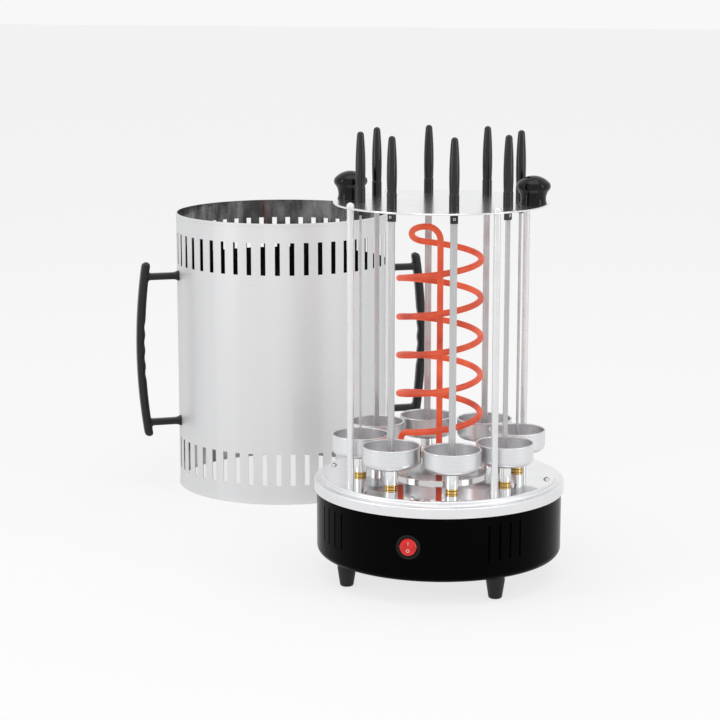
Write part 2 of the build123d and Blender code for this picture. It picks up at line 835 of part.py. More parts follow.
# The arm leaves the centre leg towards -X and swings back onto the coil.
arm_radius = (coil_radius**2 - leg_bend**2) / (2 * coil_radius)
arm_meet = 180 - degrees(atan2(arm_radius, leg_bend))
arm_meet_turn = arm_meet + 360 * coil_turns
top_arm_height = coil_point(arm_meet_turn).Z + coil_arm_rise
leg_foot = deck_under
coil_end_turn = -90 - tail_angle
coil_steps = ceil((arm_meet_turn - coil_end_turn) / 90)

with BuildPart() as heater:
    with BuildLine() as heater_path:
        leg_top = Vector(*grill, top_arm_height - leg_bend)
        arm_start = Vector(grill[0] - leg_bend, grill[1], top_arm_height)
        Line((*grill, leg_foot), leg_top)
        TangentArc(leg_top, arm_start, tangent=(0, 0, 1))
        meet, meet_heading = coil_point(arm_meet_turn), coil_heading(arm_meet_turn)
        samples = smooth_run(arm_start, Vector(-1, 0, 0), meet, meet_heading)
        for step in range(coil_steps):
            here = arm_meet_turn + (coil_end_turn - arm_meet_turn) * step / coil_steps
            there = arm_meet_turn + (coil_end_turn - arm_meet_turn) * (step + 1) / coil_steps
            samples += smooth_run(coil_point(here), coil_heading(here), coil_point(there), coil_heading(there))
        coil_end = coil_point(coil_end_turn)
        drop = Vector(*heater_tail, coil_end.Z - tail_bend * cos(coil_slope))
        TangentArc(coil_end, drop, tangent=coil_heading(coil_end_turn))
        Line(drop, (*heater_tail, leg_foot))
    with BuildSketch(Plane(origin=(*grill, leg_foot), z_dir=(0, 0, 1))):
        Circle(tube_radius)
    sweep(path=heater_path.wire())
save(heater.part, "heater")

reach_apart = 3 * tube_radius * pi
spacing = (samples[1] - samples[0]).length
closest = min(
    (a - b).length
    for i, a in enumerate(samples)
    for b in samples[i + ceil(reach_apart / spacing) + 4 :]
)
path_length = heater_path.wire().length
print("heater: least gap to itself", round(closest - 2 * tube_radius, 2), "mm")
swept_share = heater.part.volume / (pi * tube_radius**2 * path_length)
print("heater: volume over section times length", round(swept_share, 4))

with BuildPart() as heater_reflector:
    top = deck_top + reflector_height
    with BuildSketch(section(grill)) as dish:
        with BuildLine():
            Polyline(
                (0, top - reflector_sheet),
                (reflector_radius - reflector_sheet, top - reflector_sheet),
                (reflector_radius - reflector_sheet, deck_top),
                (reflector_radius, deck_top),
                (reflector_radius, top),
                (0, top),
                close=True,
            )
        make_face()
        brim = dish.vertices().filter_by(lambda v: v.X > reflector_radius - 0.01 and v.Y > top - 0.01)
        fillet(brim, reflector_sheet * 0.9)
    revolve(axis=upright(grill))
    for spot in (heater_leg, heater_tail):
        disc(spot, insulator_radius, deck_top, top, Mode.SUBTRACT)
save(heater_reflector.part, "heater_reflector")

with BuildPart() as heater_insulators:
    for spot in (heater_leg, heater_tail):
        disc(spot, insulator_radius, deck_under, deck_top + reflector_height)
        flange_low = deck_top + reflector_height
        disc(spot, insulator_flange_radius, flange_low, flange_low + insulator_flange)
        disc(spot, tube_radius + insulator_play, deck_under, flange_low + insulator_flange, Mode.SUBTRACT)
save(heater_insulators.part, "heater_insulators")

# ---------------------------------------------------------------- switch

seat = housing_radius - seat_depth
front = place(seat, -90)
pivot = (front[0], front[1])
cavity = rocker_radius + 0.9

with BuildPart() as switch_body:
    with BuildSketch(facing(front, switch_height, -90)):
        Circle(bezel_radius)
    extrude(amount=bezel_face)
    fillet(switch_body.faces().sort_by(Axis.Y)[0].edges(), bezel_face * 0.4)
    with BuildSketch(facing(front, switch_height, -90)):
        Circle(barrel_radius)
    extrude(amount=-barrel_length)
    with BuildSketch(facing(front, switch_height, -90)):
        Circle(cavity)
    extrude(amount=bezel_face, mode=Mode.SUBTRACT)
    with BuildSketch(facing(front, switch_height, -90)):
        Circle(cavity)
    extrude(amount=-rocker_back * 3, mode=Mode.SUBTRACT)
    with BuildSketch(Plane(origin=(pivot[0], pivot[1], switch_height), x_dir=(0, 1, 0), z_dir=(1, 0, 0))):
        Circle(rocker_pin_radius + running_gap)
    extrude(amount=rocker_radius + rocker_pin_length + 0.2, both=True, mode=Mode.SUBTRACT)
save(switch_body.part, "switch_body")

with BuildPart() as switch_rocker:
    lean = radians(rocker_tilt)
    rocker_plane = Plane(
        origin=(pivot[0], pivot[1], switch_height), x_dir=(1, 0, 0), z_dir=(0, -cos(lean), sin(lean))
    )
    with BuildSketch(rocker_plane.offset(-rocker_back)):
        Circle(rocker_radius)
    extrude(amount=rocker_back + rocker_front)
    chamfer(switch_rocker.faces().sort_by(Axis.Y)[0].edges(), 0.5)
    with BuildSketch(Plane(origin=(pivot[0], pivot[1], switch_height), x_dir=(0, 1, 0), z_dir=(1, 0, 0))):
        Circle(rocker_pin_radius)
    extrude(amount=rocker_radius + rocker_pin_length, both=True)
save(switch_rocker.part, "switch_rocker")

# ---------------------------------------------------------------- gland, block and wiring

gland_face = place(housing_radius, 90)
with BuildPart() as cord_gland:
    with BuildSketch(facing(gland_face, gland_height, 90)):
        Circle(gland_flange_radius)
    extrude(amount=gland_flange)
    with BuildSketch(facing(gland_face, gland_height, 90)):
        Circle(gland_radius)
    extrude(amount=-(gland_length - gland_flange))
    with BuildSketch(facing(gland_face, gland_height, 90)):
        Circle(gland_bore_radius)
    extrude(amount=gland_length, both=True, mode=Mode.SUBTRACT)
save(cord_gland.part, "cord_gland")

block_spot = (grill[0] + block_offset[0], grill[1] + block_offset[1])
with BuildPart() as terminal_block:
    with BuildSketch(level(block_spot, pan_top)):
        Rectangle(block_length, block_depth)
    extrude(amount=block_height)
    chamfer(terminal_block.faces().sort_by(Axis.Z)[-1].edges(), block_chamfer)
save(terminal_block.part, "terminal_block")


def wire(points, radius, bend):
    """Round wire along straight runs with rounded corners."""
    with BuildLine() as route:
        if len(points) > 2:
            FilletPolyline(*points, radius=bend)
        else:
            Line(*points)
    start = Vector(*points[0])
    with BuildSketch(Plane(origin=start, z_dir=Vector(*points[1]) - start)) as round_section:
        Circle(radius)
    sweep(round_section.sketch, path=route.wire())


with BuildPart() as wiring:
    gx, gy = grill
    block_top = pan_top + block_height
    middle = pan_top + block_height / 2
    gland_inner = place(housing_radius - gland_length + gland_flange, 90)
    back_face = block_spot[1] + block_depth / 2
    front_face = block_spot[1] - block_depth / 2
    switch_inner = front[1] + barrel_length
    wire(
        [
            (gx, gland_inner[1], gland_height),
            (gx, gy + lead_in_turn, gland_height),
            (block_spot[0], gy + lead_in_low, middle),
            (block_spot[0], back_face, middle),
        ],
        tail_wire_radius,
        tail_wire_bend,
    )
    lead_start = block_spot[0] + lead_seat
    for side in (-lead_spread, lead_spread):
        wire(
            [
                (lead_start + side, front_face, middle),
                (lead_start + side, gy - lead_near, middle),
                (gx + side, gy - lead_far, switch_height),
                (gx + side, switch_inner, switch_height),
            ],
            wire_radius,
            wire_bend,
        )
    heater_lead = block_spot[0] + heater_lead_seat
    wire(
        [
            (heater_lead, block_spot[1], block_top),
            (heater_lead, block_spot[1], block_top + heater_lead_rise),
            (gx, gy, tray_bottom - heater_lead_drop),
            (gx, gy, leg_foot),
        ],
        wire_radius,
        heater_wire_bend,
    )
    motor_lead = block_spot[0] + motor_lead_seat
    motor_middle = tray_bottom - motor_height / 2
    wire(
        [
            (motor_lead, block_spot[1], block_top),
            (motor_lead, block_spot[1], motor_middle),
            (motor_lead, motor_spot[1], motor_middle),
            (gx - motor_radius - seat_gap, motor_spot[1], motor_middle),
        ],
        wire_radius,
        wire_bend,
    )
save(wiring.part, "wiring")

# ---------------------------------------------------------------- cover

arm_low = handle_bottom + arm_inset + arm_height / 2
arm_high = handle_top - arm_inset - arm_height / 2
handle_bearings = (handle_bearing, handle_bearing - 180)
bar_radius = handle_reach - grip_thickness

with BuildPart() as cover_sleeve:
    disc(cover, cover_radius, 0, cover_height)
    disc(cover, cover_radius - cover_sheet, 0, cover_height, Mode.SUBTRACT)
    with BuildSketch(section(cover)):
        with Locations(
            (cover_radius - cover_sheet / 2, rim_bead),
            (cover_radius - cover_sheet / 2, cover_height - rim_bead),
        ):
            Rectangle(cover_sheet + rim_bead, 2 * rim_bead)
    revolve(axis=upright(cover))
    for height in (slot_margin + slot_height / 2, cover_height - slot_margin - slot_height / 2):
        with Locations(level(cover, height)):
            with PolarLocations(cover_radius, slot_count):
                Box(6 * cover_sheet, slot_width, slot_height, mode=Mode.SUBTRACT)
    for bearing in handle_bearings:
        for height in (arm_low, arm_high):
            with BuildSketch(facing(place(bar_radius, bearing, cover), height, bearing)):
                Circle(screw_radius)
            extrude(amount=cover_radius / 2 - bar_radius, mode=Mode.SUBTRACT)
save(cover_sleeve.part, "cover_sleeve")

with BuildPart() as cover_handles:
    grip_middle = (handle_bottom + handle_top) / 2
    end_radius = handle_reach - handle_bow
    bar_end = end_radius - grip_thickness
    wall = cover_radius + seat_gap
    first_finger = grip_middle - (finger_count - 1) / 2 * finger_pitch
    for bearing in handle_bearings:
        with BuildSketch(section(cover, bearing)):
            with BuildLine():
                outer_middle = (handle_reach, grip_middle)
                ThreePointArc((end_radius, handle_bottom), outer_middle, (end_radius, handle_top))
                Line((end_radius, handle_top), (bar_end, handle_top))
                ThreePointArc((bar_end, handle_top), (bar_radius, grip_middle), (bar_end, handle_bottom))
                Line((bar_end, handle_bottom), (end_radius, handle_bottom))
            make_face()
        extrude(amount=handle_width / 2, both=True)
        for finger in range(finger_count):
            spot = (bar_radius - finger_round + finger_depth, first_finger + finger * finger_pitch)
            with BuildSketch(section(cover, bearing)):
                with Locations(spot):
                    Circle(finger_round)
            extrude(amount=handle_width, both=True, mode=Mode.SUBTRACT)
        for height in (arm_low, arm_high):
            with BuildSketch(section(cover, bearing)):
                with BuildLine():
                    Polyline(
                        (wall, height - arm_height / 2 - arm_flare / 2),
                        (wall, height + arm_height / 2 + arm_flare / 2),
                        (wall + arm_flare, height + arm_height / 2),
                        (bar_end - arm_flare, height + arm_height / 2),
                        (bar_end + arm_bite, height + arm_height / 2 + arm_flare),
                        (bar_end + arm_bite, height - arm_height / 2 - arm_flare),
                        (bar_end - arm_flare, height - arm_height / 2),
                        (wall + arm_flare, height - arm_height / 2),
                        close=True,
                    )
                make_face()
            extrude(amount=handle_width / 2, both=True)
        for height in (arm_low, arm_high):
            with BuildSketch(facing(place(wall, bearing, cover), height, bearing)):
                Circle(screw_radius)
            extrude(amount=handle_screw_depth, mode=Mode.SUBTRACT)
save(cover_handles.part, "cover_handles")

with BuildPart() as handle_screws:
    for bearing in handle_bearings:
        for height in (arm_low, arm_high):
            inside = cover_radius - cover_sheet
            with BuildSketch(facing(place(inside - seat_gap / 2, bearing, cover), height, bearing)):
                Circle(screw_radius)
            extrude(amount=cover_sheet + 1.5 * seat_gap + handle_screw_depth)
            with BuildSketch(facing(place(inside - seat_gap / 2, bearing, cover), height, bearing)):
                Circle(screw_head_radius)
            extrude(amount=-screw_head_height)
save(handle_screws.part, "handle_screws")
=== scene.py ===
import json
from math import cos, pi, radians, sin, tau

import bmesh
import bpy
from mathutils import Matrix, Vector


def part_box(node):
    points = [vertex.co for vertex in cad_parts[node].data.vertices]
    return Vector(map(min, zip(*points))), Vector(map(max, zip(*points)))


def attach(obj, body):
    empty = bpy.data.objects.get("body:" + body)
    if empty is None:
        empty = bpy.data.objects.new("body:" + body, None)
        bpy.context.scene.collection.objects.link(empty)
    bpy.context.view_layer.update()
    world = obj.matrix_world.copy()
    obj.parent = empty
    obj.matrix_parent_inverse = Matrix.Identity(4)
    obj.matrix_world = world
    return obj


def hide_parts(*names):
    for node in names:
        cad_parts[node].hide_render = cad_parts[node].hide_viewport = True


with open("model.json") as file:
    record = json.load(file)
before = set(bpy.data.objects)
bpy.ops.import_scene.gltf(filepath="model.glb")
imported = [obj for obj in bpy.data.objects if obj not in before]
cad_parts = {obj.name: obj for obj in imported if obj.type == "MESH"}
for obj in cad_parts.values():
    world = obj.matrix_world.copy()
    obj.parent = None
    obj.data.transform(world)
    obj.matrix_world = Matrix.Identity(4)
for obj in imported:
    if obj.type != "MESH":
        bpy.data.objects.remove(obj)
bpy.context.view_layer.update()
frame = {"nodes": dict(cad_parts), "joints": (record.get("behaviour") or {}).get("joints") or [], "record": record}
nodes = frame["nodes"]
scene = bpy.context.scene

# Everything is in metres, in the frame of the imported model. +Z is up and the switch faces -Y.
UP = Vector((0, 0, 1))
STATIONS = range(1, 9)


def middle(node):
    """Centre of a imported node's box."""
    low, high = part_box(node)
    return (low + high) / 2


def top(node):
    """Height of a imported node's highest point."""
    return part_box(node)[1].z


def heading(bearing):
    """Level unit vector at a bearing, which is 0 along +X and grows towards +Y."""
    return Vector((cos(bearing), sin(bearing), 0))


def sideways(bearing):
    """Level unit vector a quarter turn on from a bearing."""
    return Vector((-sin(bearing), cos(bearing), 0))


GRILL = middle("housing")
COVER = middle("cover_sleeve")
GRILL_AXIS = Vector((GRILL.x, GRILL.y, 0))
COVER_AXIS = Vector((COVER.x, COVER.y, 0))

# ---------------------------------------------------------------- camera

CAMERA_OFFSET = Vector((0.4827, -2.0232))
CAMERA_HEIGHT = 0.6218
CAMERA_PITCH = radians(10.79)
CAMERA_TURN = radians(15.69)
CAMERA_LENS = 102.32
CAMERA_SENSOR = 36.0
CAMERA_FAR = 60.0


def make_camera():
    """The photograph's viewpoint, set from the grill's axis."""
    data = bpy.data.cameras.new("camera")
    data.lens = CAMERA_LENS
    data.sensor_width = CAMERA_SENSOR
    data.sensor_fit = "HORIZONTAL"
    data.clip_end = CAMERA_FAR
    camera = bpy.data.objects.new("camera", data)
    camera.location = (GRILL.x + CAMERA_OFFSET.x, GRILL.y + CAMERA_OFFSET.y, CAMERA_HEIGHT)
    camera.rotation_euler = (pi / 2 - CAMERA_PITCH, 0, CAMERA_TURN)
    scene.collection.objects.link(camera)
    scene.camera = camera


# ---------------------------------------------------------------- node helpers

# A Mix node's colour sockets share their names with its other sockets, so they go by number.
MIX_FIRST = 6
MIX_SECOND = 7
MIX_RESULT = 2


class Nodes:
    """The node tree of a material or a world, with short calls to add and join nodes."""

    def __init__(self, owner):
        owner.use_nodes = True
        self.owner = owner
        self.tree = owner.node_tree
        self.shader = self.tree.nodes.get("Principled BSDF") or self.tree.nodes["Background"]

    def feed(self, value, socket):
        """Links a value that another node gives, or sets a constant one."""
        if isinstance(value, bpy.types.NodeSocket):
            self.tree.links.new(value, socket)
        else:
            socket.default_value = value

    def add(self, kind, inputs=(), **settings):
        """A node with its settings and its inputs, which go by name or number."""
        node = self.tree.nodes.new(kind)
        for key, value in settings.items():
            setattr(node, key, value)
        for socket, value in dict(inputs).items():
            self.feed(value, node.inputs[socket])
        return node

    def coordinates(self, stretch=(1, 1, 1), generated=False):
        """Object or box coordinates, stretched along each axis."""
        source = self.add("ShaderNodeTexCoord").outputs["Generated" if generated else "Object"]
        return self.add("ShaderNodeMapping", {"Scale": stretch, "Vector": source}).outputs[0]

    def noise(self, vector, scale, detail=4.0, rough=0.55):
        """Fractal noise from 0 to 1."""
        inputs = {"Scale": scale, "Detail": detail, "Roughness": rough, "Vector": vector}
        return self.add("ShaderNodeTexNoise", inputs).outputs["Fac"]

    def maths(self, operation, *values):
        """One step of arithmetic on sockets or numbers."""
        return self.add("ShaderNodeMath", enumerate(values), operation=operation).outputs[0]

    def vectors(self, operation, *values):
        """One step of vector arithmetic on sockets or constants."""
        return self.add("ShaderNodeVectorMath", enumerate(values), operation=operation).outputs[0]

    def length(self, vector):
        """Length of a vector."""
        return self.add("ShaderNodeVectorMath", {0: vector}, operation="LENGTH").outputs["Value"]

    def height(self, vector):
        """The Z of a vector."""
        return self.add("ShaderNodeSeparateXYZ", {0: vector}).outputs["Z"]

    def from_axis(self, place, axis):
        """Level vector to a place from an upright axis."""
        return self.vectors("MULTIPLY", self.vectors("SUBTRACT", place, axis), (1, 1, 0))

    def spread(self, value, low, high):
        """A value from 0 to 1 laid between two others."""
        inputs = {"To Min": low, "To Max": high, "Value": value}
        return self.add("ShaderNodeMapRange", inputs).outputs[0]

    def within(self, value, low, high):
        """Where a value lies between two others, from 0 to 1."""
        inputs = {"From Min": low, "From Max": high, "Value": value}
        return self.add("ShaderNodeMapRange", inputs).outputs[0]

    def ramp(self, value, stops):
        """Colours by value; each stop is (position, colour)."""
        node = self.add("ShaderNodeValToRGB", {"Fac": value})
        elements = node.color_ramp.elements
        while len(elements) < len(stops):
            elements.new(0.5)
        for element, (position, colour) in zip(elements, stops):
            element.position = position
            element.color = (*colour, 1)
        return node.outputs["Color"]

    def mottle(self, value, dark, light, low=0.3, high=0.7):
        """Two colours that run into each other between two values."""
        return self.ramp(value, [(low, dark), (high, light)])

    def blend(self, share, first, second):
        """Mixes two colours, each a socket or four numbers; share 0 gives the first."""
        inputs = {"Factor": share, MIX_FIRST: first, MIX_SECOND: second}
        return self.add("ShaderNodeMix", inputs, data_type="RGBA").outputs[MIX_RESULT]

    def background_rays(self):
        """1 for camera, glossy and transmission rays, which are shown the pale background."""
        path = self.add("ShaderNodeLightPath").outputs
        seen = self.maths("MAXIMUM", path["Is Camera Ray"], path["Is Glossy Ray"])
        return self.maths("MAXIMUM", seen, path["Is Transmission Ray"])

    def bump(self, height, strength, distance):
        """Joins a height to the shader's normal."""
        inputs = {"Strength": strength, "Distance": distance, "Height": height}
        self.join(self.add("ShaderNodeBump", inputs).outputs[0], "Normal")

    def join(self, output, socket):
        """Joins an output to a socket of the main shader."""
        self.tree.links.new(output, self.shader.inputs[socket])

    def set(self, **values):
        """Sets constant sockets of the main shader."""
        for name, value in values.items():
            self.shader.inputs[name.replace("_", " ")].default_value = value


def material_nodes(name):
    """The nodes of a new material."""
    return Nodes(bpy.data.materials.new(name))


def grey(level):
    """A neutral colour."""
    return (level, level, level)


def shaded(colour, share):
    """A colour made darker or lighter by a share."""
    return [part * share for part in colour]


# ---------------------------------------------------------------- materials

COLD_END = top("heater_reflector")
COLD_LENGTH = 0.03
DISC_RADIUS = 0.1207
BUSHING_TALL = 0.0035
COVER_BEAD = 0.00065
COVER_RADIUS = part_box("cover_sleeve")[1].x - COVER.x - COVER_BEAD
HALF_SHEET = 0.0004

# How noise is stretched along each axis: the smallest number is the way that the lines run.
NO_GRAIN = (1, 1, 1)
UPRIGHT_GRAIN = (1, 1, 0.03)
LEVEL_GRAIN = (0.03, 0.03, 1)
CROSS_GRAIN = (1, 0.03, 1)
UPRIGHT_BANDS = (1, 1, 0.02)
UPRIGHT_RIPPLES = (1, 1, 0.25)
UPRIGHT_MARKS = (1, 1, 0.1)


def polished_metal(name, colour, rough, metal=1.0):
    """Bright metal whose polish varies a little."""
    n = material_nodes(name)
    place = n.coordinates()
    marks = n.noise(place, scale=60.0)
    n.join(n.mottle(marks, shaded(colour, 0.93), colour, 0.25, 0.75), "Base Color")
    n.join(n.spread(marks, *rough), "Roughness")
    n.bump(n.noise(place, scale=900.0, detail=2.0), strength=0.04, distance=0.0004)
    n.set(Metallic=metal)
    return n.owner


def brushed_metal(name, colour, stretch, rough, depth=0.12, metal=1.0):
    """Metal with fine lines along one direction."""
    n = material_nodes(name)
    lines = n.noise(n.coordinates(stretch), scale=700.0, detail=3.0, rough=0.65)
    tone = n.noise(n.coordinates(), scale=9.0, detail=2.0)
    mixed = n.maths("ADD", n.maths("MULTIPLY", lines, 0.7), n.maths("MULTIPLY", tone, 0.3))
    n.join(n.mottle(mixed, shaded(colour, 0.84), colour), "Base Color")
    n.join(n.spread(lines, *rough), "Roughness")
    n.bump(lines, strength=depth, distance=0.0003)
    n.set(Metallic=metal)
    return n.owner


def spun_metal(name, colour, rings, rough, depth=0.15):
    """Metal turned on a lathe: fine rings about the middle of the piece's box."""
    n = material_nodes(name)
    box = n.coordinates(generated=True)
    radius = n.length(n.from_axis(box, (0.5, 0.5, 0.5)))
    height = n.maths("SUBTRACT", n.height(box), 0.5)
    along = n.maths("ADD", radius, n.maths("MULTIPLY", height, 0.5))
    point = n.add("ShaderNodeCombineXYZ", {"X": along}).outputs[0]
    lines = n.noise(point, rings, detail=3.0, rough=0.7)
    n.join(n.mottle(lines, shaded(colour, 0.82), colour), "Base Color")
    n.join(n.spread(lines, *rough), "Roughness")
    n.bump(lines, strength=depth, distance=0.0003)
    n.set(Metallic=1.0)
    return n.owner


def sheet_metal(name, colour, wall):
    """Satin sheet rolled into a sleeve: even outside; inside the given radius, polish with a dark wavy painted
    reflection in its colour.
    """
    n = material_nodes(name)
    radius = n.length(n.from_axis(n.coordinates(), COVER_AXIS))
    outside = n.maths("GREATER_THAN", radius, wall)
    lines = n.noise(n.coordinates(LEVEL_GRAIN), scale=1500.0, detail=3.0, rough=0.65)
    bands = n.noise(n.coordinates(UPRIGHT_BANDS), scale=22.0, detail=2.0)
    mixed = n.maths("ADD", n.maths("MULTIPLY", lines, 0.3), n.maths("MULTIPLY", bands, 0.7))
    outer = n.mottle(mixed, shaded(colour, 0.9), colour)
    ripples = n.noise(n.coordinates(UPRIGHT_RIPPLES), scale=55.0, detail=2.0)
    # Painted reflection: inside the sleeve the colour runs dark and wavy, standing in for streaky reflections in
    # the polished steel.
    inner = n.mottle(ripples, grey(0.16), grey(0.5), 0.35, 0.65)
    n.join(n.blend(outside, inner, outer), "Base Color")
    n.join(n.spread(outside, 1.0, 0.3), "Metallic")
    satin = n.spread(outside, 0.1, 0.38)
    n.join(n.maths("ADD", satin, n.maths("MULTIPLY", lines, 0.06)), "Roughness")
    waves = n.maths("MULTIPLY", ripples, n.spread(outside, 1.0, 0.0))
    relief = n.maths("ADD", waves, n.maths("MULTIPLY", lines, 0.02))
    n.bump(relief, strength=0.5, distance=0.0008)
    return n.owner


def banded_metal(name, colour, between, height, tall):
    """Turned ring with two bright bands and painted shade for a groove between them and along its lower edge,
    below a given height.
    """
    n = material_nodes(name)
    part = n.within(n.height(n.coordinates()), height - tall, height)
    # Painted shade: the ramp gives the dark colour to the lower edge and to a groove between the bright bands.
    lower_band = [(0.0, between), (0.12, colour), (0.34, colour), (0.4, between)]
    upper_band = [(0.62, between), (0.68, colour)]
    n.join(n.ramp(part, lower_band + upper_band), "Base Color")
    marks = n.noise(n.coordinates(UPRIGHT_MARKS), scale=500.0, detail=3.0)
    n.join(n.spread(marks, 0.1, 0.24), "Roughness")
    n.bump(marks, strength=0.1, distance=0.0002)
    n.set(Metallic=1.0)
    return n.owner


def deck_metal(name, colour, disc_radius):
    """Polished disc inside a given radius, with a satin rim around it."""
    n = material_nodes(name)
    place = n.coordinates()
    flat = n.from_axis(place, GRILL_AXIS)
    radius = n.length(flat)
    rim = n.maths("GREATER_THAN", radius, disc_radius)
    marks = n.noise(place, scale=40.0)
    n.join(n.mottle(marks, shaded(colour, 0.93), colour, 0.25, 0.75), "Base Color")
    polish = n.spread(rim, 0.03, 0.28)
    n.join(n.maths("ADD", polish, n.maths("MULTIPLY", marks, 0.05)), "Roughness")
    around = n.vectors("CROSS_PRODUCT", flat, (0, 0, 1))
    n.join(n.vectors("NORMALIZE", around), "Tangent")
    n.join(n.spread(rim, 0.0, 0.85), "Anisotropic")
    section = n.add("ShaderNodeCombineXYZ", {"X": radius, "Y": n.height(place)}).outputs[0]
    rings = n.noise(section, scale=1800.0, detail=3.0)
    n.bump(n.maths("MULTIPLY", rings, rim), strength=0.05, distance=0.0003)
    n.set(Metallic=1.0)
    return n.owner


def moulded_plastic(name, colour, rough, level=0.5):
    """Moulded plastic with faint flow marks and grain."""
    n = material_nodes(name)
    place = n.coordinates()
    flow = n.noise(place, scale=30.0, detail=3.0)
    n.join(n.mottle(flow, shaded(colour, 0.8), shaded(colour, 1.15)), "Base Color")
    n.join(n.spread(flow, *rough), "Roughness")
    n.bump(n.noise(place, scale=700.0, detail=3.0), strength=0.012, distance=0.0003)
    n.set(Specular_IOR_Level=level)
    return n.owner


def enamel(name):
    """Black stove enamel with faint orange peel."""
    n = material_nodes(name)
    place = n.coordinates()
    cloud = n.noise(place, scale=14.0, detail=3.0)
    n.join(n.mottle(cloud, grey(0.0006), grey(0.001)), "Base Color")
    n.join(n.spread(cloud, 0.16, 0.24), "Roughness")
    n.bump(n.noise(place, scale=320.0, detail=2.0), strength=0.03, distance=0.0004)
    n.set(Specular_IOR_Level=0.03)
    return n.owner


def rubber(name):
    """Matt black rubber."""
    n = material_nodes(name)
    place = n.coordinates()
    n.join(n.mottle(n.noise(place, scale=120.0), grey(0.004), grey(0.009)), "Base Color")
    n.join(n.spread(n.noise(place, scale=60.0), 0.42, 0.6), "Roughness")
    n.bump(n.noise(place, scale=1400.0, detail=2.0), strength=0.2, distance=0.0003)
    n.set(Specular_IOR_Level=0.35)
    return n.owner


def ceramic(name, colour):
    """Unglazed white ceramic with small pits."""
    n = material_nodes(name)
    specks = n.noise(n.coordinates(), scale=500.0)
    n.join(n.mottle(specks, shaded(colour, 0.8), colour, 0.35, 0.5), "Base Color")
    n.join(n.spread(specks, 0.5, 0.75), "Roughness")
    n.bump(specks, strength=0.3, distance=0.0003)
    return n.owner


def hot_tube(name):
    """Heating tube at red heat, dark where its cold ends go through the reflector."""
    n = material_nodes(name)
    place = n.coordinates()
    cold_to_hot = n.within(n.height(place), COLD_END, COLD_END + COLD_LENGTH)
    patches = n.noise(place, scale=38.0, detail=3.0)
    stops = [(0.25, (0.50, 0.035, 0.012)), (0.5, (0.72, 0.075, 0.022)), (0.8, (0.86, 0.13, 0.04))]
    glow = n.ramp(patches, stops)
    n.join(n.blend(cold_to_hot, (0, 0, 0, 1), glow), "Emission Color")
    n.join(n.mottle(patches, (0.09, 0.022, 0.015), (0.2, 0.04, 0.022)), "Base Color")
    n.join(n.spread(patches, 0.38, 0.55), "Roughness")
    n.bump(n.noise(place, scale=900.0, detail=3.0), strength=0.15, distance=0.0003)
    n.set(Emission_Strength=0.75)
    return n.owner


def lit_rocker(name):
    """Red switch rocker with a faint light of its own."""
    n = material_nodes(name)
    place = n.coordinates()
    flow = n.noise(place, scale=160.0, detail=3.0)
    n.join(n.mottle(flow, (0.55, 0.005, 0.004), (0.78, 0.012, 0.008)), "Base Color")
    n.join(n.spread(flow, 0.12, 0.2), "Roughness")
    n.bump(n.noise(place, scale=900.0, detail=2.0), strength=0.05, distance=0.0002)
    n.set(Emission_Color=(0.6, 0.004, 0.003, 1), Emission_Strength=0.05)
    return n.owner


